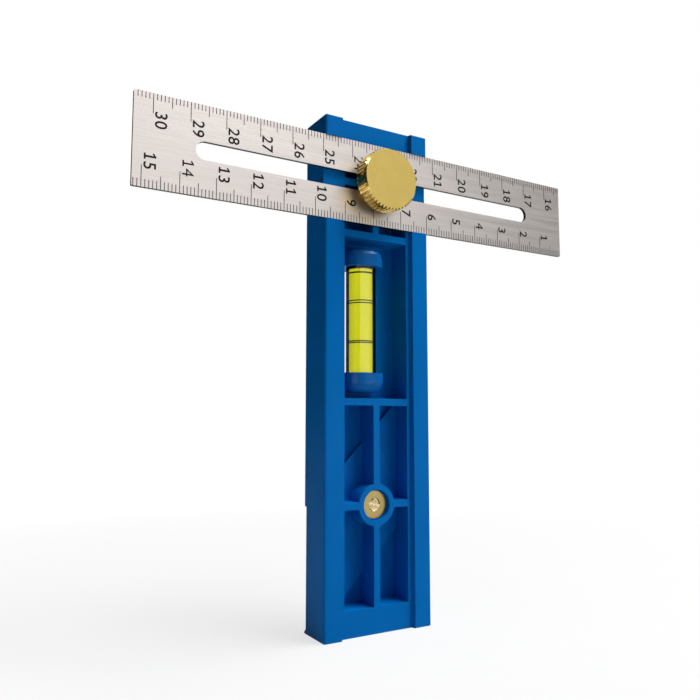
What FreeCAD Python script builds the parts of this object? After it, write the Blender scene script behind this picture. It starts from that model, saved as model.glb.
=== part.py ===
import FreeCAD, Part
import math
import os

# Adjustable marking gauge: a moulded stock that a slotted, graduated steel rule slides through,
# locked by a knurled brass thumb screw, with a tubular spirit vial in the stock.
# Lengths are millimetres. +X runs along the rule, +Y from the front of the stock to its back,
# +Z up the stock. The origin is the middle of the stock's bottom end.

V = FreeCAD.Vector

# Stock: outer block, front rails and the tray between them
STOCK_W = 36.8
STOCK_T = 12.7
STOCK_H = 152.4
EDGE_R = 0.7
END_R = 0.4
RAIL_W = 5.85
RAIL_STEP = 1.5
RAIL_DRAFT = 0.4

# Stock: pockets and the ribs that part them
SIDE_WALL = 7.35
END_WALL = 7.5
BACK_WALL = 3.2
RIB_T = 2.1
POCKET_R = 0.3
FLOOR_R = 0.25
TOP_CELL_REACH = 14.8

# Stock: screw bosses, one behind each rule seat
UPPER_BOSS_DROP = 18.95
LOWER_BOSS_Z = 36.7
BOSS_R = 6.15
RELIEF_R = 4.5
RELIEF_DEPTH = 1.5

# Rule
RULE_L = 152.4
RULE_W = 25.4
RULE_T = 1.1
RULE_CORNER_R = 0.3
RULE_SHIFT = 2.25
SLOT_W = 5.2
SLOT_MARGIN = 16.5
SEAT_GAP = 0.05
SEAT_DEPTH_BACK = 1.5
SEAT_ANGLE_BACK = 45.0
SEAT_BACKING = 0.9

# Brass inserts and the screw in them
INSERT_R = 4.2
INSERT_GROOVE_W = 1.6
INSERT_GROOVE_DEPTH = 0.4
INSERT_CHAMFER = 0.15
THREAD_R = 2.0
THREAD_GAP = 0.05
TIP_CHAMFER = 0.6
SHANK_IN_INSERT = 6.4

# Thumb screw head, its collar and the washer under it
HEAD_R = 9.4
HEAD_H = 5.1
HEAD_FACE_R = 8.83
HEAD_CHAMFER_H = 0.8
HEAD_BACK_CHAMFER = 0.4
KNURL_TEETH = 48
KNURL_DEPTH = 0.45
KNURL_CREST = 0.45
KNURL_ROOT = 0.2
COLLAR_R = 5.6
COLLAR_H = 1.9
WASHER_R = 6.0
WASHER_T = 0.8
WASHER_HOLE_GAP = 0.2
WASHER_CHAMFER = 0.15

# Spirit vial
VIAL_X = -2.6
VIAL_L = 44.2
VIAL_HEAD_ROOM = 2.45
VIAL_FOOT_ROOM = 1.8
CAP_R = 5.75
CAP_STRETCH = 1.2
CAP_H = 5.85
CAP_END_WALL = 1.4
CAP_DOME_R = 3.2
TUBE_R = 4.65
TUBE_WALL = 1.0
PLUG_L = 2.0
BUBBLE_L = 4.1
BUBBLE_R = 3.3
BUBBLE_SAG = 0.6
WINDOW_W = 8.8
FIT_GAP = 0.02

# How far a cut runs past the face that it opens
OVERRUN = 1.0

# Levels that follow from the sizes above
FRONT_Y = -STOCK_T / 2
BACK_Y = STOCK_T / 2
TRAY_Y = FRONT_Y + RAIL_STEP
FLOOR_Y = BACK_Y - BACK_WALL
GROOVE_Y = BACK_Y - SEAT_DEPTH_BACK
STEP_Y = FLOOR_Y - SEAT_DEPTH_BACK
POCKET_HALF = STOCK_W / 2 - SIDE_WALL
UPPER_BOSS_Z = STOCK_H - UPPER_BOSS_DROP
TOP_RIB_TOP = UPPER_BOSS_Z - TOP_CELL_REACH
VIAL_TOP = TOP_RIB_TOP - RIB_T - VIAL_HEAD_ROOM
VIAL_BOTTOM = VIAL_TOP - VIAL_L
DIVIDER_TOP = VIAL_BOTTOM - VIAL_FOOT_ROOM
SEAT_W = RULE_W + 2 * SEAT_GAP
RULE_FRONT_Y = TRAY_Y - RULE_T
WASHER_FRONT_Y = RULE_FRONT_Y - WASHER_T
COLLAR_FRONT_Y = WASHER_FRONT_Y - COLLAR_H
HEAD_FRONT_Y = COLLAR_FRONT_Y - HEAD_H
INSERT_L = GROOVE_Y - TRAY_Y - RELIEF_DEPTH
SHANK_R = THREAD_R - THREAD_GAP
BORE_R = INSERT_R + FIT_GAP
TUBE_BOTTOM = VIAL_BOTTOM + CAP_END_WALL
TUBE_TOP = VIAL_TOP - CAP_END_WALL
PLUG_BOTTOM = TUBE_TOP - PLUG_L


def block(x0, x1, y0, y1, z0, z1):
    """Box between two corners."""
    return Part.makeBox(x1 - x0, y1 - y0, z1 - z0, V(x0, y0, z0))


def rod(radius, y0, y1, x, z):
    """Cylinder along Y."""
    return Part.makeCylinder(radius, y1 - y0, V(x, y0, z), V(0, 1, 0))


def edges_along(shape, direction):
    """Straight edges of a shape that run along a direction."""
    found = []
    for edge in shape.Edges:
        if isinstance(edge.Curve, Part.Line):
            run = (edge.Vertexes[-1].Point - edge.Vertexes[0].Point).normalize()
            if abs(abs(run.dot(direction)) - 1) < 1e-6:
                found.append(edge)
    return found


def turned(profile, centre, axis):
    """Solid turned from a closed profile of points about an axis."""
    face = Part.Face(Part.makePolygon(profile + [profile[0]]))
    return face.revolve(centre, axis, 360)


def turned_y(outline, z):
    """Solid turned about the Y line through X = 0 and a height, from (radius, y) points."""
    return turned([V(r, y, z) for r, y in outline], V(0, 0, z), V(0, 1, 0))


def turned_z(outline, x):
    """Solid turned about the Z line through Y = 0 and an x, from (radius, z) points."""
    return turned([V(x + r, 0, z) for r, z in outline], V(x, 0, 0), V(0, 0, 1))


def slanted_band(width, y0, y1):
    """Straight band across the stock at the back seat's angle, centred on the lower boss."""
    reach = 2 * (STOCK_W + STOCK_H)
    band = block(-reach / 2, reach / 2, y0, y1, -width / 2, width / 2)
    band.rotate(V(0, 0, 0), V(0, 1, 0), -SEAT_ANGLE_BACK)
    band.translate(V(0, 0, LOWER_BOSS_Z))
    return band


def outer_block():
    """Stock blank with its long edges and its ends rounded."""
    blank = block(-STOCK_W / 2, STOCK_W / 2, FRONT_Y, BACK_Y, 0, STOCK_H)
    blank = blank.makeFillet(EDGE_R, edges_along(blank, V(0, 0, 1)))
    ends = [e for e in blank.Edges if e.BoundBox.ZLength < 1e-6]
    return blank.makeFillet(END_R, ends)


def tray():
    """Shallow recess between the two front rails, with drafted sides."""
    inner = STOCK_W / 2 - RAIL_W
    foot = inner - RAIL_DRAFT
    slope = RAIL_DRAFT / RAIL_STEP
    mouth = inner + slope * END_R
    outline = [V(-mouth, FRONT_Y - END_R, 0), V(mouth, FRONT_Y - END_R, 0),
               V(foot, TRAY_Y, 0), V(-foot, TRAY_Y, 0)]
    face = Part.Face(Part.makePolygon(outline + [outline[0]]))
    return face.extrude(V(0, 0, STOCK_H))


def cell(x0, x1, z0, z1):
    """One moulded pocket, from the tray down to the floor, with rounded corners."""
    pocket = block(x0, x1, TRAY_Y - RAIL_STEP, FLOOR_Y, z0, z1)
    return pocket.makeFillet(POCKET_R, edges_along(pocket, V(0, 1, 0)))


def soft_floor(pocket):
    """Pocket with its foot rounded, where a floor meets a wall, a rib, a boss or the step's foot."""
    feet = []
    for edge in pocket.Edges:
        box = edge.BoundBox
        flat = box.YLength < 1e-6
        slanted = isinstance(edge.Curve, Part.Line) and box.XLength > 1e-6 and box.ZLength > 1e-6
        on_step = abs(box.YMin - STEP_Y) < 1e-6 and not slanted
        if flat and (abs(box.YMin - FLOOR_Y) < 1e-6 or on_step):
            feet.append(edge)
    return pocket.makeFillet(FLOOR_R, feet)


def cells_around(boss_z, z0, z1):
    """Four pockets parted by a cross of ribs that meets a round boss."""
    boss = rod(BOSS_R, FRONT_Y, BACK_Y, 0, boss_z)
    made = []
    for low, high in ((z0, boss_z - RIB_T / 2), (boss_z + RIB_T / 2, z1)):
        for x0, x1 in ((-POCKET_HALF, -RIB_T / 2), (RIB_T / 2, POCKET_HALF)):
            made.append(cell(x0, x1, low, high).cut(boss))
    return made


def pockets():
    """All the pockets open to the front, with the slanted step on the lower pockets' floor."""
    step = slanted_band(SEAT_W + 2 * SEAT_BACKING, STEP_Y, BACK_Y)
    lower = [c.cut(step) for c in cells_around(LOWER_BOSS_Z, END_WALL, DIVIDER_TOP - RIB_T)]
    middle = [cell(-POCKET_HALF, POCKET_HALF, DIVIDER_TOP, TOP_RIB_TOP - RIB_T)]
    upper = cells_around(UPPER_BOSS_Z, TOP_RIB_TOP, STOCK_H - END_WALL)
    return [soft_floor(c) for c in lower + middle + upper]


def front_seat():
    """Channel through both rails that the rule slides in."""
    half = SEAT_W / 2
    return block(-STOCK_W, STOCK_W, FRONT_Y - OVERRUN, TRAY_Y, UPPER_BOSS_Z - half, UPPER_BOSS_Z + half)


def back_seat():
    """Slanted channel across the back, for the rule at the second angle."""
    return slanted_band(SEAT_W, GROOVE_Y, BACK_Y + OVERRUN)


def insert_bores():
    """Through bores for the brass inserts, each relieved on the side away from its seat."""
    front = FRONT_Y - OVERRUN
    back = BACK_Y + OVERRUN
    cuts = [rod(BORE_R, front, back, 0, z) for z in (UPPER_BOSS_Z, LOWER_BOSS_Z)]
    cuts.append(rod(RELIEF_R, TRAY_Y + INSERT_L, back, 0, UPPER_BOSS_Z))
    cuts.append(rod(RELIEF_R, front, GROOVE_Y - INSERT_L, 0, LOWER_BOSS_Z))
    return cuts


def cap_outline(radius, dome, open_end, closed_end):
    """Half section of a domed cap as edges: flat mouth, straight side, round shoulder, flat end."""
    way = 1 if closed_end > open_end else -1
    shoulder = closed_end - way * dome
    middle = V(radius - dome, 0, shoulder)
    bend = dome * math.sqrt(0.5)
    points = [V(0, 0, open_end), V(radius, 0, open_end), V(radius, 0, shoulder),
              V(radius - dome, 0, closed_end), V(0, 0, closed_end)]
    knee = middle + V(bend, 0, way * bend)
    return [Part.LineSegment(points[0], points[1]).toShape(),
            Part.LineSegment(points[1], points[2]).toShape(),
            Part.Arc(points[2], knee, points[3]).toShape(),
            Part.LineSegment(points[3], points[4]).toShape(),
            Part.LineSegment(points[4], points[0]).toShape()]


def domed_slug(radius, dome, open_end, closed_end):
    """Domed slug round the vial's axis, drawn out sideways between two round ends."""
    half = Part.Face(Part.Wire(cap_outline(radius, dome, open_end, closed_end)))
    axis = V(0, 0, 1)
    end = half.revolve(V(0, 0, 0), axis, 360)
    parts = []
    for x in (VIAL_X - CAP_STRETCH, VIAL_X + CAP_STRETCH):
        copy = end.copy()
        copy.translate(V(x, 0, 0))
        parts.append(copy)
    for angle in (90, -90):
        side = half.copy()
        side.rotate(V(0, 0, 0), axis, angle)
        side.translate(V(VIAL_X - CAP_STRETCH, 0, 0))
        parts.append(side.extrude(V(2 * CAP_STRETCH, 0, 0)))
    return parts[0].fuse(parts[1:]).removeSplitter()


def vial_seats():
    """Window behind the vial's barrel and the two saddles that its caps lie in."""
    half = WINDOW_W / 2
    window = block(VIAL_X - half, VIAL_X + half, FLOOR_Y - OVERRUN, BACK_Y + OVERRUN,
                   VIAL_BOTTOM + CAP_H, VIAL_TOP - CAP_H)
    radius = CAP_R + FIT_GAP
    dome = CAP_DOME_R + FIT_GAP
    low = domed_slug(radius, dome, VIAL_BOTTOM + CAP_H + FIT_GAP, VIAL_BOTTOM - FIT_GAP)
    high = domed_slug(radius, dome, VIAL_TOP - CAP_H - FIT_GAP, VIAL_TOP + FIT_GAP)
    return [window, low, high]


def stock():
    """Moulded stock: one piece with rails, tray, pockets, ribs, bosses, seats and vial window."""
    body = outer_block()
    for tool in [tray()] + pockets() + [front_seat(), back_seat()] + insert_bores() + vial_seats():
        body = body.cut(tool)
    return body.removeSplitter()


def rule():
    """Flat steel rule with a long round-ended slot, lying in the front seat."""
    x0 = RULE_SHIFT - RULE_L / 2
    x1 = RULE_SHIFT + RULE_L / 2
    z0 = UPPER_BOSS_Z - RULE_W / 2
    z1 = UPPER_BOSS_Z + RULE_W / 2
    plate = block(x0, x1, RULE_FRONT_Y, TRAY_Y, z0, z1)
    plate = plate.makeFillet(RULE_CORNER_R, edges_along(plate, V(0, 1, 0)))
    end_r = SLOT_W / 2
    first = x0 + SLOT_MARGIN + end_r
    last = x1 - SLOT_MARGIN - end_r
    front = RULE_FRONT_Y - OVERRUN
    back = TRAY_Y + OVERRUN
    slot = block(first, last, front, back, UPPER_BOSS_Z - end_r, UPPER_BOSS_Z + end_r)
    for x in (first, last):
        slot = slot.fuse(rod(end_r, front, back, x, UPPER_BOSS_Z))
    return plate.cut(slot.removeSplitter())


def insert(y0, z):
    """Threaded brass insert with a locking groove round its middle."""
    y1 = y0 + INSERT_L
    groove_r = INSERT_R - INSERT_GROOVE_DEPTH
    g0 = (y0 + y1 - INSERT_GROOVE_W) / 2
    g1 = (y0 + y1 + INSERT_GROOVE_W) / 2
    edge = INSERT_CHAMFER
    return turned_y([(THREAD_R, y0), (INSERT_R - edge, y0), (INSERT_R, y0 + edge), (INSERT_R, g0),
                     (groove_r, g0), (groove_r, g1), (INSERT_R, g1), (INSERT_R, y1 - edge),
                     (INSERT_R - edge, y1), (THREAD_R, y1)], z)


def knurl_blank():
    """Straight-toothed bar as long as the head, standing on its front plane."""
    pitch = 2 * math.pi / KNURL_TEETH
    root_r = HEAD_R - KNURL_DEPTH
    crest = pitch * KNURL_CREST / 2
    root = pitch * (1 - KNURL_ROOT) / 2
    points = []
    for tooth in range(KNURL_TEETH):
        centre = tooth * pitch
        for radius, angle in ((root_r, centre - root), (HEAD_R, centre - crest),
                              (HEAD_R, centre + crest), (root_r, centre + root)):
            points.append(V(radius * math.cos(angle), HEAD_FRONT_Y,
                            UPPER_BOSS_Z + radius * math.sin(angle)))
    face = Part.Face(Part.makePolygon(points + [points[0]]))
    return face.extrude(V(0, HEAD_H, 0))


def thumb_screw():
    """Knurled head with bevelled rims, collar and threaded shank, turned in one piece."""
    back = COLLAR_FRONT_Y
    bevel_y = HEAD_FRONT_Y + HEAD_CHAMFER_H
    rims = turned_y([(0, HEAD_FRONT_Y), (HEAD_FACE_R, HEAD_FRONT_Y), (HEAD_R, bevel_y),
                     (HEAD_R, back - HEAD_BACK_CHAMFER), (HEAD_R - KNURL_DEPTH, back), (0, back)],
                    UPPER_BOSS_Z)
    head = knurl_blank().common(rims)
    tip_y = TRAY_Y + SHANK_IN_INSERT
    stem = turned_y([(0, back), (COLLAR_R, back), (COLLAR_R, WASHER_FRONT_Y), (SHANK_R, WASHER_FRONT_Y),
                     (SHANK_R, tip_y - TIP_CHAMFER), (SHANK_R - TIP_CHAMFER, tip_y), (0, tip_y)],
                    UPPER_BOSS_Z)
    return head.fuse(stem).removeSplitter()


def washer():
    """Flat washer between the screw's collar and the rule."""
    y0 = WASHER_FRONT_Y
    y1 = RULE_FRONT_Y
    edge = WASHER_CHAMFER
    hole_r = SHANK_R + WASHER_HOLE_GAP
    return turned_y([(hole_r, y0), (WASHER_R - edge, y0), (WASHER_R, y0 + edge),
                     (WASHER_R, y1 - edge), (WASHER_R - edge, y1), (hole_r, y1)], UPPER_BOSS_Z)


def vial_cap(open_end, closed_end):
    """Domed end cap with a blind bore that takes the vial's barrel."""
    way = 1 if closed_end > open_end else -1
    seat = closed_end - way * (CAP_END_WALL - FIT_GAP)
    low, high = sorted((open_end - way * OVERRUN, seat))
    bore = Part.makeCylinder(TUBE_R + FIT_GAP, high - low, V(VIAL_X, 0, low))
    return domed_slug(CAP_R, CAP_DOME_R, open_end, closed_end).cut(bore)


def vial_tube():
    """Clear barrel, closed at the bottom and open at the top."""
    bore_r = TUBE_R - TUBE_WALL
    floor = TUBE_BOTTOM + TUBE_WALL
    return turned_z([(0, TUBE_BOTTOM), (TUBE_R, TUBE_BOTTOM), (TUBE_R, TUBE_TOP), (bore_r, TUBE_TOP),
                     (bore_r, floor), (0, floor)], VIAL_X)


def vial_plug():
    """Disc that seals the barrel's open end."""
    radius = TUBE_R - TUBE_WALL - FIT_GAP
    return Part.makeCylinder(radius, PLUG_L, V(VIAL_X, 0, PLUG_BOTTOM))


def vial_spirit():
    """Liquid that wets the whole bore, hollowed by the bubble that has risen to the plug."""
    radius = TUBE_R - TUBE_WALL - FIT_GAP
    floor = TUBE_BOTTOM + TUBE_WALL + FIT_GAP
    top = PLUG_BOTTOM - FIT_GAP
    low = PLUG_BOTTOM - BUBBLE_L
    shoulder = low + BUBBLE_SAG
    middle = (BUBBLE_R ** 2 + BUBBLE_SAG ** 2) / (2 * BUBBLE_SAG)
    half_r = BUBBLE_R / 2
    knee = low + middle - math.sqrt(middle ** 2 - half_r ** 2)
    spans = [(V(0, 0, floor), V(radius, 0, floor)), (V(radius, 0, floor), V(radius, 0, top)),
             (V(radius, 0, top), V(BUBBLE_R, 0, top)), (V(BUBBLE_R, 0, top), V(BUBBLE_R, 0, shoulder))]
    edges = [Part.LineSegment(a, b).toShape() for a, b in spans]
    edges.append(Part.Arc(V(BUBBLE_R, 0, shoulder), V(half_r, 0, knee), V(0, 0, low)).toShape())
    edges.append(Part.LineSegment(V(0, 0, low), V(0, 0, floor)).toShape())
    liquid = Part.Face(Part.Wire(edges)).revolve(V(0, 0, 0), V(0, 0, 1), 360)
    liquid.translate(V(VIAL_X, 0, 0))
    return liquid


def main():
    """Build each piece and write it as a STEP file."""
    os.makedirs("parts", exist_ok=True)
    made = {
        "stock": stock(),
        "rule": rule(),
        "upper_insert": insert(TRAY_Y, UPPER_BOSS_Z),
        "lower_insert": insert(GROOVE_Y - INSERT_L, LOWER_BOSS_Z),
        "thumb_screw": thumb_screw(),
        "washer": washer(),
        "vial_tube": vial_tube(),
        "vial_plug": vial_plug(),
        "vial_spirit": vial_spirit(),
        "vial_cap_upper": vial_cap(VIAL_TOP - CAP_H, VIAL_TOP),
        "vial_cap_lower": vial_cap(VIAL_BOTTOM + CAP_H, VIAL_BOTTOM),
    }
    for name, shape in made.items():
        shape.exportStep("parts/" + name + ".step")
        print(name, "valid", shape.isValid(), "solids", len(shape.Solids), "volume", round(shape.Volume, 2))


main()
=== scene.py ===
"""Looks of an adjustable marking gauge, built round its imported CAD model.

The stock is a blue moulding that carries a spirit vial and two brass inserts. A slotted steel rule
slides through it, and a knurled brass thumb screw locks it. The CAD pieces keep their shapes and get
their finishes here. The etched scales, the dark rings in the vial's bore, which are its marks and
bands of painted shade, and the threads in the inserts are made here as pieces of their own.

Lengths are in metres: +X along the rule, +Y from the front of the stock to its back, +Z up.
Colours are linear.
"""

import logging
import math
from dataclasses import dataclass
from enum import Enum

import bmesh
import bpy
from mathutils import Matrix, Vector


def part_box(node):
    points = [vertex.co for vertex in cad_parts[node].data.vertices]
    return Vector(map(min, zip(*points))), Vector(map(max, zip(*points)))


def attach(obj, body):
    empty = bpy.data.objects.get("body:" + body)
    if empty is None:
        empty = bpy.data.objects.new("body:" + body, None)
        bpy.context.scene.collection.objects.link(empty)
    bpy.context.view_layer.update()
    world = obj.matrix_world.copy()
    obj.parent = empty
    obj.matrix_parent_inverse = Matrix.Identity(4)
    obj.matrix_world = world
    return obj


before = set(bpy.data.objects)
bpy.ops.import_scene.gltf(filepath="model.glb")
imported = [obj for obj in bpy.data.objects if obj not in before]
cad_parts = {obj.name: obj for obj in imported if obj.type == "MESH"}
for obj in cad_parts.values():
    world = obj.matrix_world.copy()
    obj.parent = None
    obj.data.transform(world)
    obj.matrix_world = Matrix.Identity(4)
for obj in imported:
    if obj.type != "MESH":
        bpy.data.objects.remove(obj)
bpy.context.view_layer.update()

LOG = logging.getLogger("gauge")
MM = 0.001
CM = 10 * MM

# Noise values lie mostly between these two, so colours and roughness are mapped from this range.
NOISE_LOW = 0.3
NOISE_HIGH = 0.7
# A face of the rule whose normal lies less than this along Y is a cut edge.
EDGE_NORMAL = 0.5


def new_object(name: str, data: bpy.types.ID) -> bpy.types.Object:
    """Put new data into the scene.

    Args:
        name: The object's name.
        data: Its mesh, curve, lamp or camera.

    Returns:
        The new object, at the origin.
    """
    made = bpy.data.objects.new(name, data)
    bpy.context.scene.collection.objects.link(made)
    return made


class Nodes:
    """A node tree, with short calls for the nodes that the finishes and the stage share."""

    def __init__(self, tree: bpy.types.NodeTree) -> None:
        """Take over a tree.

        Args:
            tree: The tree that the nodes are added to.
        """
        self.tree = tree

    def node(self, kind: str, **settings: object) -> bpy.types.Node:
        """Add a node.

        Args:
            kind: The node's type name.
            settings: Values for the node's own properties.

        Returns:
            The new node.
        """
        made = self.tree.nodes.new(kind)
        for name, value in settings.items():
            setattr(made, name, value)
        return made

    def link(self, source: bpy.types.NodeSocket, target: bpy.types.NodeSocket) -> None:
        """Join two nodes.

        Args:
            source: The output.
            target: The input.
        """
        self.tree.links.new(source, target)

    def math(self, operation: str, *values: object) -> bpy.types.NodeSocket:
        """Work one value out from others.

        Args:
            operation: The kind of sum.
            values: What goes into it, each a socket or a number.

        Returns:
            The result's socket.
        """
        made = self.node("ShaderNodeMath", operation=operation)
        for target, value in zip(made.inputs, values):
            if isinstance(value, bpy.types.NodeSocket):
                self.link(value, target)
            else:
                target.default_value = value
        return made.outputs[0]

    def span(self, value: bpy.types.NodeSocket, low: float, high: float,
             start: float = NOISE_LOW, end: float = NOISE_HIGH) -> bpy.types.NodeSocket:
        """Map a value to a span.

        Args:
            value: The value's socket.
            low: What the start of its range becomes.
            high: What the end of its range becomes.
            start: Start of the range.
            end: End of the range.

        Returns:
            The mapped value's socket.
        """
        made = self.node("ShaderNodeMapRange")
        settings = {"From Min": start, "From Max": end, "To Min": low, "To Max": high}
        for name, number in settings.items():
            made.inputs[name].default_value = number
        self.link(value, made.inputs["Value"])
        return made.outputs["Result"]

    def ramp(self, value: bpy.types.NodeSocket, first: tuple, second: tuple,
             start: float = NOISE_LOW, end: float = NOISE_HIGH) -> bpy.types.NodeSocket:
        """Mix two colours by a value.

        Args:
            value: The value's socket.
            first: Colour at the start of its range and before.
            second: Colour at the end of its range and after.
            start: Start of the range.
            end: End of the range.

        Returns:
            The colour's socket.
        """
        made = self.node("ShaderNodeValToRGB")
        stops = zip(made.color_ramp.elements, (start, end), (first, second))
        for stop, position, colour in stops:
            stop.position = position
            stop.color = (*colour, 1.0)
        self.link(value, made.inputs["Fac"])
        return made.outputs["Color"]

    def seen_white(self) -> bpy.types.NodeSocket:
        """Test for the rays that see the plain white background.

        Returns:
            A socket that is 1 for camera, glossy and transmission rays, and else 0.
        """
        path = self.node("ShaderNodeLightPath")
        total = path.outputs["Is Camera Ray"]
        for name in ("Is Glossy Ray", "Is Transmission Ray"):
            total = self.math("MAXIMUM", total, path.outputs[name])
        return total


class Shader(Nodes):
    """A material built on one Principled shader."""

    def __init__(self, name: str) -> None:
        """Start the material.

        Args:
            name: The material's name.
        """
        self.material = bpy.data.materials.new(name)
        self.material.use_nodes = True
        super().__init__(self.material.node_tree)
        self.principled = self.tree.nodes["Principled BSDF"]
        self.place = self.node("ShaderNodeTexCoord").outputs["Object"]

    def fix(self, **values: object) -> None:
        """Set values that are the same all over the surface.

        Args:
            values: The shader's own inputs, named with underscores for spaces.
        """
        for name, value in values.items():
            self.principled.inputs[name.replace("_", " ")].default_value = value

    def vary(self, name: str, value: bpy.types.NodeSocket) -> None:
        """Set a value that changes over the surface.

        Args:
            name: The shader's input.
            value: What drives it.
        """
        self.link(value, self.principled.inputs[name])

    def noise(self, scale: float, detail: float,
              stretch: tuple = (1.0, 1.0, 1.0)) -> bpy.types.NodeSocket:
        """Make noise on the piece's own coordinates.

        Args:
            scale: Cycles of noise in a metre.
            detail: Octaves of finer noise.
            stretch: Factors on the coordinates, small along the way that the noise is drawn out.

        Returns:
            The noise value's socket.
        """
        mapping = self.node("ShaderNodeMapping")
        mapping.inputs["Scale"].default_value = stretch
        self.link(self.place, mapping.inputs["Vector"])
        made = self.node("ShaderNodeTexNoise")
        made.inputs["Scale"].default_value = scale
        made.inputs["Detail"].default_value = detail
        self.link(mapping.outputs["Vector"], made.inputs["Vector"])
        return made.outputs["Fac"]

    def faced(self, colour: bpy.types.NodeSocket, edge_colour: tuple) -> bpy.types.NodeSocket:
        """Give the faces square to Y one colour, and the cut edges between them another.

        Args:
            colour: The faces' colour.
            edge_colour: Colour of the cut edges.

        Returns:
            The colour's socket.
        """
        parts = self.node("ShaderNodeSeparateXYZ")
        normal = self.node("ShaderNodeNewGeometry").outputs["True Normal"]
        self.link(normal, parts.inputs["Vector"])
        edge = self.math("LESS_THAN", self.math("ABSOLUTE", parts.outputs["Y"]), EDGE_NORMAL)
        mix = self.node("ShaderNodeMix", data_type="RGBA")
        mix.inputs["B"].default_value = (*edge_colour, 1.0)
        self.link(edge, mix.inputs["Factor"])
        self.link(colour, mix.inputs["A"])
        return mix.outputs["Result"]

    def bump(self, height: bpy.types.NodeSocket, distance: float, strength: float) -> None:
        """Raise the surface by a height value.

        Args:
            height: The height value's socket.
            distance: Height of the relief.
            strength: Share of the relief that shows.
        """
        made = self.node("ShaderNodeBump")
        made.inputs["Distance"].default_value = distance
        made.inputs["Strength"].default_value = strength
        self.link(height, made.inputs["Height"])
        self.vary("Normal", made.outputs["Normal"])


@dataclass(frozen=True)
class Look:
    """A finish in two colours that cloudy noise mixes.

    Attributes:
        name: The material's name.
        colour: The main colour.
        worn_colour: The other colour, near the main one.
    """

    name: str
    colour: tuple
    worn_colour: tuple

    def start(self, scale: float, detail: float) -> tuple:
        """Start the material with its noise and its colour.

        Args:
            scale: Cycles of noise in a metre.
            detail: Octaves of finer noise.

        Returns:
            The shader and the noise value's socket.
        """
        shader = Shader(self.name)
        noise = shader.noise(scale, detail)
        shader.vary("Base Color", shader.ramp(noise, self.worn_colour, self.colour))
        return shader, noise


@dataclass(frozen=True)
class MouldedPlastic(Look):
    """Coloured plastic with a fine moulded grain.

    Attributes:
        roughness: Middle of the roughness, which varies in patches.
        grain: Share of the grain's relief that shows.
        gloss: Strength of the surface reflection.
        spread: How far the roughness falls and rises from its middle.
        grain_height: Height of the grain's relief.
    """

    roughness: float
    grain: float
    gloss: float
    spread: tuple = (0.04, 0.05)
    grain_height: float = 0.02 * MM

    def build(self) -> bpy.types.Material:
        """Return the new material."""
        shader, _ = self.start(scale=55.0, detail=3.0)
        patches = shader.noise(scale=160.0, detail=4.0)
        below, above = self.spread
        shader.vary("Roughness", shader.span(patches, self.roughness - below, self.roughness + above))
        shader.bump(shader.noise(scale=5200.0, detail=2.0), self.grain_height, self.grain)
        shader.fix(Specular_IOR_Level=self.gloss)
        return shader.material


@dataclass(frozen=True)
class BrushedSteel(Look):
    """Stainless sheet, ground along its length.

    Attributes:
        edge_colour: Colour of the cut edges.
        roughness: Least and greatest roughness.
        grain: Share of the streaks' relief that shows.
        grain_height: Height of the streaks' relief.
    """

    edge_colour: tuple
    roughness: tuple = (0.34, 0.44)
    grain: float = 0.35
    grain_height: float = 0.004 * MM

    def build(self) -> bpy.types.Material:
        """Return the new material."""
        shader = Shader(self.name)
        streaks = shader.noise(scale=9000.0, detail=3.0, stretch=(0.012, 1.0, 1.0))
        broad = shader.noise(scale=900.0, detail=2.0, stretch=(0.03, 1.0, 1.0))
        ground = shader.ramp(streaks, self.worn_colour, self.colour)
        shader.vary("Base Color", shader.faced(ground, self.edge_colour))
        shader.vary("Roughness", shader.span(broad, *self.roughness))
        shader.bump(streaks, self.grain_height, self.grain)
        shader.fix(Metallic=1.0)
        return shader.material


@dataclass(frozen=True)
class TurnedBrass(Look):
    """Brass off the lathe, with fine turning marks.

    Attributes:
        roughness: Middle of the roughness.
        grain: Share of the turning marks' relief that shows.
        spread: How far the roughness falls and rises from its middle.
        grain_height: Height of the turning marks' relief.
    """

    roughness: float
    grain: float
    spread: tuple = (0.02, 0.03)
    grain_height: float = 0.004 * MM

    def build(self) -> bpy.types.Material:
        """Return the new material."""
        shader, _ = self.start(scale=260.0, detail=4.0)
        fine = shader.noise(scale=4200.0, detail=3.0)
        below, above = self.spread
        shader.vary("Roughness", shader.span(fine, self.roughness - below, self.roughness + above))
        shader.bump(fine, self.grain_height, self.grain)
        shader.fix(Metallic=1.0)
        return shader.material


@dataclass(frozen=True)
class ClearAcrylic:
    """Clear thick-walled tube, with faint drawing lines along it, and painted shade that darkens it
    where its surface turns away from the view, as the edges of such glass look dark.

    Attributes:
        name: The material's name.
        rim: How far the surface turns away where it goes dark, from 0 to 1.
        rim_colour: The colour of the painted shade.
        rim_blur: Half the width of the change from clear to dark.
        clear_colour: The colour of the rest.
        roughness: Least and greatest roughness.
    """

    name: str
    rim: float
    rim_colour: tuple
    rim_blur: float = 0.02
    clear_colour: tuple = (1.0, 1.0, 1.0)
    roughness: tuple = (0.0, 0.03)

    def build(self) -> bpy.types.Material:
        """Return the new material."""
        shader = Shader(self.name)
        drawn = shader.noise(scale=900.0, detail=2.0, stretch=(1.0, 1.0, 0.05))
        shader.vary("Roughness", shader.span(drawn, *self.roughness))
        # Painted shade: the base colour goes dark where the surface turns away from the view.
        turned_away = shader.node("ShaderNodeLayerWeight").outputs["Facing"]
        shader.vary("Base Color", shader.ramp(turned_away, self.clear_colour, self.rim_colour,
                                              self.rim - self.rim_blur, self.rim + self.rim_blur))
        shader.fix(Transmission_Weight=1.0, IOR=1.49, Specular_IOR_Level=0.08)
        return shader.material


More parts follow.
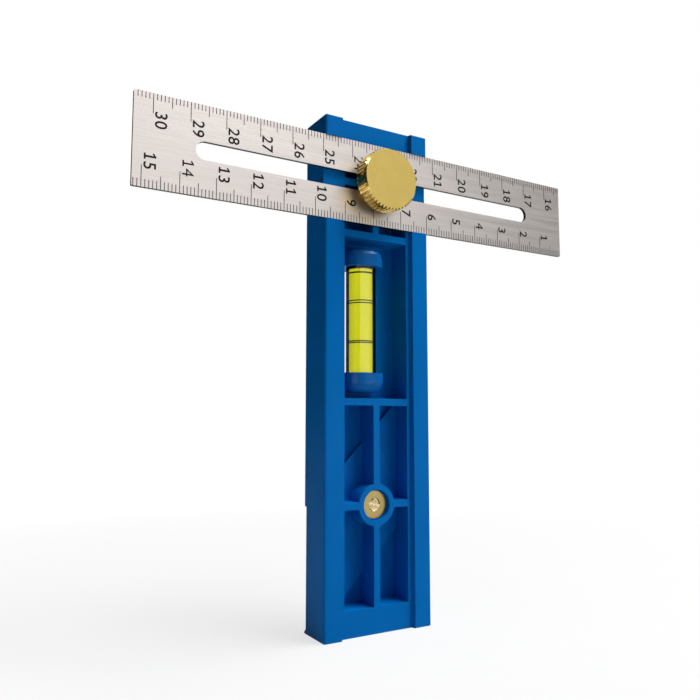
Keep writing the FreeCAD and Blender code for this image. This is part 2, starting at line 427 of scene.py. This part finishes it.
@dataclass(frozen=True)
class TintedSpirit(Look):
    """Fluorescent dyed liquid, with a painted glow in place of the light that shines through it.

    Attributes:
        glow_colour: Colour of the painted glow.
        glow: Its strength.
    """

    glow_colour: tuple
    glow: float

    def build(self) -> bpy.types.Material:
        """Return the new material."""
        shader, _ = self.start(scale=120.0, detail=1.0)
        # Painted light: the emission makes the liquid glow by itself.
        shader.fix(Transmission_Weight=0.25, IOR=1.36, Roughness=0.02, Specular_IOR_Level=0.05,
                   Emission_Color=(*self.glow_colour, 1.0), Emission_Strength=self.glow)
        return shader.material


@dataclass(frozen=True)
class DarkMark(Look):
    """Dark matt finish of etched, printed and rubber pieces, and of the vial's bands of painted
    shade.

    Attributes:
        roughness: Least and greatest roughness.
        gloss: Strength of the surface reflection.
    """

    roughness: tuple = (0.5, 0.7)
    gloss: float = 0.12

    def build(self) -> bpy.types.Material:
        """Return the new material."""
        shader, wear = self.start(scale=1800.0, detail=3.0)
        shader.vary("Roughness", shader.span(wear, *self.roughness))
        shader.fix(Specular_IOR_Level=self.gloss)
        return shader.material


class Finish(Enum):
    """The finishes of the gauge's pieces."""

    STOCK = MouldedPlastic("moulded_blue", (0.001, 0.160, 0.520), (0.001, 0.150, 0.495),
                           roughness=0.38, grain=0.2, gloss=0.025)
    CAP = MouldedPlastic("glossy_blue", (0.003, 0.135, 0.450), (0.002, 0.115, 0.400),
                         roughness=0.12, grain=0.1, gloss=0.07)
    RULE = BrushedSteel("ground_steel", (0.575, 0.53, 0.507), (0.48, 0.445, 0.425),
                        edge_colour=(0.02, 0.019, 0.019))
    BRASS = TurnedBrass("turned_brass", (0.62, 0.46, 0.13), (0.58, 0.43, 0.12),
                        roughness=0.17, grain=0.015)
    INSERT = TurnedBrass("dull_brass", (0.34, 0.25, 0.095), (0.29, 0.21, 0.08),
                         roughness=0.42, grain=0.4)
    THREAD = TurnedBrass("cut_brass", (0.72, 0.60, 0.36), (0.66, 0.54, 0.30),
                         roughness=0.16, grain=0.1)
    TUBE = ClearAcrylic("clear_tube", rim=0.38, rim_colour=(0.004, 0.004, 0.006))
    SPIRIT = TintedSpirit("yellow_spirit", (0.42, 0.41, 0.005), (0.40, 0.39, 0.004),
                          glow_colour=(0.90, 0.89, 0.01), glow=0.44)
    # Used for the etched scale, the vial's marks and the vial's bands of painted shade.
    MARK = DarkMark("dark_mark_and_painted_shade", (0.008, 0.007, 0.007), (0.02, 0.018, 0.017))
    PLUG = DarkMark("black_plug", (0.02, 0.02, 0.02), (0.035, 0.035, 0.035))

    def material(self) -> bpy.types.Material:
        """Return this finish's material, built at its first use."""
        made = bpy.data.materials.get(self.value.name)
        return made or self.value.build()


CAD_FINISHES = {
    "stock": Finish.STOCK,
    "rule": Finish.RULE,
    "thumb_screw": Finish.BRASS,
    "washer": Finish.BRASS,
    "upper_insert": Finish.INSERT,
    "lower_insert": Finish.INSERT,
    "vial_tube": Finish.TUBE,
    "vial_spirit": Finish.SPIRIT,
    "vial_plug": Finish.PLUG,
    "vial_cap_upper": Finish.CAP,
    "vial_cap_lower": Finish.CAP,
}


def dress(node: str, finish: Finish) -> None:
    """Give a CAD node a finish.

    Args:
        node: The node's name.
        finish: The finish for all of its slots.
    """
    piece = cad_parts[node]
    if not piece.material_slots:
        piece.data.materials.append(None)
    for place in piece.material_slots:
        place.material = finish.material()
    LOG.info("dressed %s with %s", node, finish.value.name)


def add_piece(name: str, bm: bmesh.types.BMesh, finish: Finish, body: str) -> None:
    """Turn a bmesh into a piece of the object.

    Args:
        name: The piece's name.
        bm: Its shape, already in place. It is freed.
        finish: Its finish.
        body: The body that it rides on.
    """
    mesh = bpy.data.meshes.new(name)
    bm.to_mesh(mesh)
    bm.free()
    mesh.materials.append(finish.material())
    piece = new_object(name, mesh)
    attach(piece, body)
    LOG.info("made %s with %d faces", name, len(mesh.polygons))


def closed_loop(bm: bmesh.types.BMesh, places: list) -> tuple:
    """Add an outline.

    Args:
        bm: The mesh that takes it.
        places: Its corners, in order.

    Returns:
        The corners' vertices and the edges between them, in two lists.
    """
    corners = [bm.verts.new(place) for place in places]
    edges = [bm.edges.new((corner, corners[n - 1])) for n, corner in enumerate(corners)]
    return corners, edges


@dataclass(frozen=True)
class Row:
    """The scale along one edge of the rule, whose numbers count down from the left.

    Attributes:
        first: Distance of the first numbered line from the rule's left end.
        value: The first number.
        reach: Lengths of the lines at each millimetre, half centimetre and centimetre.
        foot: Distance from the edge to where a number's last digit ends.
        way: -1 for the top edge, whose lines run down from it, 1 for the bottom edge.
    """

    first: float
    value: int
    reach: tuple
    foot: float
    way: int


UPPER_ROW = Row(first=5.0 * MM, value=30, reach=(1.7 * MM, 3.05 * MM, 5.45 * MM),
                foot=9.35 * MM, way=-1)
LOWER_ROW = Row(first=2.4 * MM, value=15, reach=(2.1 * MM, 3.45 * MM, 5.8 * MM),
                foot=4.65 * MM, way=1)


@dataclass
class Scale:
    """The etched centimetre and millimetre scales on the rule's front.

    Attributes:
        relief: How far the marks stand out from the rule.
        line: Width of a line.
        numbers: Count of numbers in a row.
        number_height: Height of a digit.
        cap_share: Height of a digit as a share of the typeface's size.
        spacing: Factor on the typeface's digit spacing.
        pitch_share: Digit spacing as a share of the digits' height.
        stem_share: Distance of a one's stem from the right end of its place, as the same share.
        foot_size: Width and height of a one's foot.
        flag_size: Length and thickness of a one's flag.
        flag_middle: Place of the flag's middle, across from the stem and up from the foot.
        flag_angle: How far the flag tilts.
        inset_share: Depth of the foot and flag as a share of the relief.
        number_weight: How much the digits are thickened all round.
        number_gap: Distance from a line to its number.
        curve_steps: Straight pieces in each curve of a digit.
    """

    relief: float = 0.02 * MM
    line: float = 0.19 * MM
    numbers: int = 15
    number_height: float = 3.18 * MM
    cap_share: float = 0.693
    spacing: float = 1.07
    pitch_share: float = 0.772
    stem_share: float = 0.359
    foot_size: tuple = (1.65 * MM, 0.45 * MM)
    flag_size: tuple = (1.15 * MM, 0.42 * MM)
    flag_middle: tuple = (-0.42 * MM, 2.7 * MM)
    flag_angle: float = math.radians(34.0)
    inset_share: float = 0.9
    number_weight: float = 0.05 * MM
    number_gap: float = 0.55 * MM
    curve_steps: int = 3

    def __post_init__(self) -> None:
        """Read the rule's place."""
        low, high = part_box("rule")
        self.left = low[0]
        self.right = high[0]
        self.front = low[1]
        self.bottom = low[2]
        self.top = high[2]

    def tick(self, bm: bmesh.types.BMesh, along: float, edge: float, way: int,
             length: float) -> None:
        """Add one line of a scale.

        Args:
            bm: The mesh that takes the line.
            along: Its distance from the rule's left end.
            edge: Height of the edge that it starts at.
            way: -1 for a line that runs down from the edge, 1 for one that runs up.
            length: Its length.
        """
        size = Matrix.Diagonal((self.line, self.relief, length, 1.0))
        middle = Vector((self.left + along, self.front - self.relief / 2, edge + way * length / 2))
        bmesh.ops.create_cube(bm, size=1.0, matrix=Matrix.Translation(middle) @ size)

    def ticks(self, bm: bmesh.types.BMesh, row: Row, edge: float) -> None:
        """Add all the lines of one edge's scale.

        Args:
            bm: The mesh that takes the lines.
            row: The scale.
            edge: Height of the edge.
        """
        last = self.right - self.left - self.line
        step = math.ceil((self.line - row.first) / MM)
        while row.first + step * MM < last:
            # Every fifth millimetre has a longer line, and every tenth a longer one still.
            rank = (step % 5 == 0) + (step % 10 == 0)
            self.tick(bm, row.first + step * MM, edge, row.way, row.reach[rank])
            step += 1

    def digits(self, value: str) -> bpy.types.Mesh:
        """Make a number's digits, upright, with their right end and their foot at the origin.

        The digits are made in millimetres and then shrunk. A number with a four stays thin, because
        thickening fills the four's counter.

        Args:
            value: The number.

        Returns:
            The digits' mesh.
        """
        text = bpy.data.curves.new("number", "FONT")
        text.body = value
        text.align_x = "RIGHT"
        text.space_character = self.spacing
        text.size = self.number_height / MM / self.cap_share
        text.resolution_u = self.curve_steps
        text.extrude = self.relief / MM / 2
        text.offset = 0.0 if "4" in value else self.number_weight / MM
        holder = new_object("number", text)
        bpy.context.view_layer.update()
        mesh = bpy.data.meshes.new_from_object(holder)
        bpy.data.objects.remove(holder)
        bpy.data.curves.remove(text)
        mesh.transform(Matrix.Diagonal((MM, MM, MM, 1.0)))
        return mesh

    def finish_one(self, bm: bmesh.types.BMesh, stem: float) -> None:
        """Give a one its foot and its flag, which the built-in typeface leaves out.

        Args:
            bm: The mesh that holds the one, still upright.
            stem: Place of the middle of its stem.
        """
        foot = Matrix.Translation((stem, self.foot_size[1] / 2, 0.0))
        across, up = self.flag_middle
        flag = Matrix.Translation((stem + across, up, 0.0)) @ Matrix.Rotation(self.flag_angle, 4, "Z")
        for place, size in ((foot, self.foot_size), (flag, self.flag_size)):
            depth = Matrix.Diagonal((*size, self.relief * self.inset_share, 1.0))
            bmesh.ops.create_cube(bm, size=1.0, matrix=place @ depth)

    def number(self, bm: bmesh.types.BMesh, value: int, along: float, foot: float) -> None:
        """Add a number that reads downwards beside its line.

        Args:
            bm: The mesh that takes the number.
            value: The number.
            along: Distance of its line from the rule's left end.
            foot: Height of the number's end, where its last digit ends.
        """
        start = len(bm.verts)
        mesh = self.digits(str(value))
        bm.from_mesh(mesh)
        bpy.data.meshes.remove(mesh)
        for rank, digit in enumerate(reversed(str(value))):
            if digit == "1":
                self.finish_one(bm, -(self.stem_share + rank * self.pitch_share) * self.number_height)
        bm.verts.ensure_lookup_table()
        stand = Matrix(((0.0, 1.0, 0.0), (0.0, 0.0, -1.0), (-1.0, 0.0, 0.0))).to_4x4()
        place = Vector((self.left + along + self.number_gap, self.front - self.relief / 2, foot))
        bmesh.ops.transform(bm, matrix=Matrix.Translation(place) @ stand, verts=bm.verts[start:])

    def build(self) -> None:
        """Make both scales as one piece."""
        bm = bmesh.new()
        for row, edge in ((UPPER_ROW, self.top), (LOWER_ROW, self.bottom)):
            self.ticks(bm, row, edge)
            for step in range(self.numbers):
                self.number(bm, row.value - step, row.first + step * CM, edge + row.way * row.foot)
        add_piece("rule_scale", bm, Finish.MARK, "rule")


@dataclass
class VialRings:
    """The dark rings in the vial: each of its two marks as a close pair of lines, and two bands of
    painted shade, the dark line at the liquid's curved edge and the shadow under the upper cap.

    Attributes:
        heights_and_widths: Height of each ring's middle, and its width along the barrel.
        gap: Distance from the liquid to the rings.
        relief: Thickness of the rings.
        segments: Straight pieces in a ring.
        merge: Distance within which a ring's first and last corners are joined.
    """

    heights_and_widths: tuple = (
        (97.85 * MM, 0.36 * MM),
        (97.1 * MM, 0.36 * MM),
        (85.45 * MM, 0.36 * MM),
        (84.95 * MM, 0.36 * MM),
        # Painted shade: the dark line where the liquid's curved edge bends the light away.
        (106.45 * MM, 0.5 * MM),
        # Painted shadow: the dark band under the upper cap.
        (108.15 * MM, 1.1 * MM),
    )
    gap: float = 0.004 * MM
    relief: float = 0.012 * MM
    segments: int = 96
    merge: float = 0.0001 * MM

    def __post_init__(self) -> None:
        """Read the vial's axis, and the liquid's radius, which the rings lie just outside."""
        low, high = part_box("vial_spirit")
        self.x = (low[0] + high[0]) / 2
        self.y = (low[1] + high[1]) / 2
        self.radius = (high[0] - low[0]) / 2

    def ring(self, bm: bmesh.types.BMesh, height: float, width: float) -> None:
        """Add one ring as a thin band with square edges.

        Args:
            bm: The mesh that takes the ring.
            height: Height of its middle.
            width: Its width, along the barrel.
        """
        half = width / 2
        inner = self.radius + self.gap
        outer = inner + self.relief
        outline = ((inner, -half), (outer, -half), (outer, half), (inner, half))
        corners, edges = closed_loop(bm, [(self.x + r, self.y, height + z) for r, z in outline])
        bmesh.ops.spin(bm, geom=corners + edges, cent=(self.x, self.y, height), axis=(0.0, 0.0, 1.0),
                       angle=2 * math.pi, steps=self.segments, use_merge=True)

    def build(self) -> None:
        """Make all the rings as one piece."""
        bm = bmesh.new()
        for height, width in self.heights_and_widths:
            self.ring(bm, height, width)
        bmesh.ops.remove_doubles(bm, verts=bm.verts, dist=self.merge)
        bmesh.ops.recalc_face_normals(bm, faces=bm.faces)
        add_piece("vial_rings_and_painted_shade", bm, Finish.MARK, "stock")


@dataclass(frozen=True)
class InnerThread:
    """The ridge of an insert's screw thread, as a piece of its own in the plain bore.

    Attributes:
        insert: The insert's node.
        start: Distance from the insert's front end to the ridge.
        pitch: Distance between turns.
        bore: Radius of the plain bore.
        sunk: How far the ridge's root goes into the insert's wall.
        crest: Radius at the ridge's crest.
        root_width: Width of the ridge at its root.
        crest_width: Width at its crest.
        steps: Straight pieces in a turn.
    """

    insert: str
    start: float
    pitch: float = 0.7 * MM
    bore: float = 2.0 * MM
    sunk: float = 0.01 * MM
    crest: float = 1.64 * MM
    root_width: float = 0.6 * MM
    crest_width: float = 0.16 * MM
    steps: int = 40

    def build(self) -> None:
        """Wind the ridge from its start to the insert's back end."""
        low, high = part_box(self.insert)
        axis = Vector(((low[0] + high[0]) / 2, 0.0, (low[2] + high[2]) / 2))
        first = low[1] + self.start + self.root_width / 2
        turns = math.floor((high[1] - first - self.root_width / 2) / self.pitch)
        root = self.bore + self.sunk
        outline = ((root, -self.root_width / 2), (self.crest, -self.crest_width / 2),
                   (self.crest, self.crest_width / 2), (root, self.root_width / 2))
        bm = bmesh.new()
        corners, edges = closed_loop(bm, [axis + Vector((r, first + y, 0.0)) for r, y in outline])
        bm.faces.new(corners)
        bmesh.ops.spin(bm, geom=corners + edges + bm.faces[:], cent=axis, axis=(0.0, 1.0, 0.0),
                       dvec=(0.0, self.pitch / self.steps, 0.0), angle=2 * math.pi * turns,
                       steps=self.steps * turns)
        bmesh.ops.recalc_face_normals(bm, faces=bm.faces)
        add_piece(self.insert + "_thread", bm, Finish.THREAD, "stock")


THREADS = (
    InnerThread("lower_insert", start=0.1 * MM),
    InnerThread("upper_insert", start=6.5 * MM),
)


def square(name: str, side: float) -> bpy.types.Mesh:
    """Make a flat square.

    Args:
        name: The mesh's name.
        side: Length of its sides.

    Returns:
        The mesh, level, with its middle at the origin.
    """
    bm = bmesh.new()
    bmesh.ops.create_grid(bm, x_segments=1, y_segments=1, size=side / 2)
    mesh = bpy.data.meshes.new(name)
    bm.to_mesh(mesh)
    bm.free()
    return mesh


@dataclass(frozen=True)
class Stand:
    """A place round the object that faces it.

    Attributes:
        round_z: Degrees round the object from straight in front, towards its right.
        up: Degrees above the object's middle.
        distance: Distance from there.
        aim: The object's middle.
    """

    round_z: float
    up: float
    distance: float
    aim: tuple = (0.0, 0.0, 0.08)

    def matrix(self) -> Matrix:
        """Return the place's matrix, with local -Z towards the object."""
        turn = math.radians(self.round_z)
        rise = math.radians(self.up)
        level = math.cos(rise)
        away = Vector((math.sin(turn) * level, -math.cos(turn) * level, math.sin(rise)))
        facing = (-away).to_track_quat("-Z", "Y").to_matrix().to_4x4()
        return Matrix.Translation(Vector(self.aim) + self.distance * away) @ facing


@dataclass(frozen=True)
class Lamp:
    """A square soft lamp.

    Attributes:
        name: The lamp's name.
        stand: Where it stands.
        size: Its side.
        power: Its power in watts.
        shine: Whether it makes highlights only, and leaves matt surfaces alone.
    """

    name: str
    stand: Stand
    size: float
    power: float
    shine: bool = False

    def build(self) -> None:
        """Put the lamp into the scene."""
        data = bpy.data.lights.new(self.name, "AREA")
        data.size = self.size
        data.energy = self.power
        lamp = new_object(self.name, data)
        lamp.matrix_world = self.stand.matrix()
        lamp.visible_diffuse = not self.shine


@dataclass(frozen=True)
class Card:
    """A matt card that the camera doesn't see, to shade one side and its reflections.

    Attributes:
        name: The card's name.
        stand: Where it stands.
        width: Its width.
        height: Its height.
        grey: Its shade, from 0, black, to 1.
    """

    name: str
    stand: Stand
    width: float
    height: float
    grey: float

    def build(self) -> None:
        """Put the card into the scene."""
        mesh = square(self.name, 1.0)
        card = new_object(self.name, mesh)
        size = Matrix.Diagonal((self.width, self.height, 1.0, 1.0))
        card.matrix_world = self.stand.matrix() @ size
        card.visible_camera = False
        matt = Shader(self.name)
        matt.fix(Base_Color=(self.grey, self.grey, self.grey, 1.0), Specular_IOR_Level=0.0)
        mesh.materials.append(matt.material)


CARDS = (
    Card("card_left", Stand(-147.0, 20.0, 0.9), width=1.3, height=0.9, grey=0.03),
    Card("card_side", Stand(-86.0, 12.0, 0.35), width=0.8, height=0.6, grey=0.02),
    Card("card_right", Stand(70.0, 15.0, 0.9), width=0.8, height=0.8, grey=0.5),
)
LAMPS = (
    Lamp("key", Stand(58.0, 64.0, 0.8), size=0.5, power=9.9),
    Lamp("front", Stand(8.0, 30.0, 0.8), size=0.3, power=0.2),
    Lamp("foot", Stand(30.0, -8.0, 0.3), size=0.1, power=0.1),
    Lamp("rim", Stand(-96.0, 50.0, 0.8), size=0.5, power=7.0, shine=True),
    Lamp("floor_left", Stand(-88.0, -28.0, 0.14), size=0.05, power=0.012),
    Lamp("low", Stand(-48.0, -13.0, 0.28), size=0.16, power=0.4, shine=True),
)


@dataclass(frozen=True)
class Studio:
    """White floor, white surroundings, soft lamps and the camera.

    Attributes:
        camera_place: Where the photograph was taken from.
        camera_right: The picture's right, as a direction in the scene.
        camera_down: The picture's way down.
        camera_ahead: The way that the camera looks.
        focal_pixels: Focal length in pixels.
        frame_pixels: The picture's side in pixels.
        offset_pixels: The optical axis's place, right of and below the picture's middle.
        sensor: The sensor's width in millimetres.
        clip: Nearest and farthest distance that the camera sees.
        floor_size: The floor's side.
        floor_shade: Lightness of the floor as it is seen.
        floor_bounce: Lightness of the floor as it lights the object.
        floor_roughness: The floor's roughness.
        floor_white: Share of pure white in the floor close to the object.
        floor_fade: Distances from the origin between which that share grows to the whole.
        ambient: Strength of the surroundings' light on matt surfaces.
    """

    camera_place: tuple = (-0.111894, -0.180565, 0.061461)
    camera_right: tuple = (0.86281, -0.50552, 0.00022)
    camera_down: tuple = (0.05133, 0.08718, -0.99487)
    camera_ahead: tuple = (0.50291, 0.85840, 0.10117)
    focal_pixels: float = 692.76
    frame_pixels: float = 700.0
    offset_pixels: tuple = (0.85, 0.25)
    sensor: float = 36.0
    clip: tuple = (0.005, 20.0)
    floor_size: float = 6.0
    floor_shade: float = 0.75
    floor_bounce: float = 0.55
    floor_roughness: float = 0.9
    floor_white: float = 0.72
    floor_fade: tuple = (0.075, 0.3)
    ambient: float = 0.05

    def camera(self) -> None:
        """Make the camera that stands where the photograph was taken from."""
        data = bpy.data.cameras.new("camera")
        data.sensor_width = self.sensor
        data.lens = self.focal_pixels / self.frame_pixels * self.sensor
        data.shift_x = -self.offset_pixels[0] / self.frame_pixels
        data.shift_y = self.offset_pixels[1] / self.frame_pixels
        data.clip_start, data.clip_end = self.clip
        right = Vector(self.camera_right)
        up = -Vector(self.camera_down)
        back = -Vector(self.camera_ahead)
        turn = Matrix((right, up, back)).transposed().to_4x4()
        camera = new_object("camera", data)
        camera.matrix_world = Matrix.Translation(self.camera_place) @ turn
        bpy.context.scene.camera = camera

    def world(self) -> None:
        """Make surroundings that look white and light the object softly."""
        world = bpy.data.worlds.new("studio")
        bpy.context.scene.world = world
        world.use_nodes = True
        nodes = Nodes(world.node_tree)
        ground = nodes.tree.nodes["Background"]
        ground.inputs["Color"].default_value = (1.0, 1.0, 1.0, 1.0)
        level = nodes.span(nodes.seen_white(), self.ambient, 1.0, start=0.0, end=1.0)
        nodes.link(level, ground.inputs["Strength"])

    def floor(self) -> None:
        """Make the white floor, which keeps the object's soft shadow."""
        mesh = square("floor", self.floor_size)
        floor = new_object("floor", mesh)
        shader = Shader("floor_white")
        bounced = shader.node("ShaderNodeLightPath").outputs["Is Diffuse Ray"]
        shade = shader.span(bounced, self.floor_shade, self.floor_bounce, start=0.0, end=1.0)
        shader.vary("Base Color", shade)
        shader.fix(Roughness=self.floor_roughness, Specular_IOR_Level=0.0)
        distance = shader.node("ShaderNodeVectorMath", operation="LENGTH")
        shader.link(shader.place, distance.inputs[0])
        near, far = self.floor_fade
        fade = shader.span(distance.outputs["Value"], self.floor_white, 1.0, start=near, end=far)
        mix = shader.node("ShaderNodeMixShader")
        shader.link(shader.math("MULTIPLY", shader.seen_white(), fade), mix.inputs["Fac"])
        shader.link(shader.principled.outputs["BSDF"], mix.inputs[1])
        shader.link(shader.node("ShaderNodeEmission").outputs["Emission"], mix.inputs[2])
        shader.link(mix.outputs["Shader"], shader.tree.nodes["Material Output"].inputs["Surface"])
        mesh.materials.append(shader.material)

    def build(self) -> None:
        """Set the whole stage."""
        self.camera()
        self.world()
        self.floor()
        for item in CARDS + LAMPS:
            item.build()
        bpy.context.scene.view_settings.view_transform = "Standard"


def main() -> None:
    """Set the stage, dress the CAD pieces and add the finer ones."""
    logging.basicConfig(level=logging.INFO, format="%(name)s: %(message)s")
    Studio().build()
    for node, finish in CAD_FINISHES.items():
        dress(node, finish)
    for maker in (Scale(), VialRings(), *THREADS):
        maker.build()


if __name__ == "__main__":
    main()
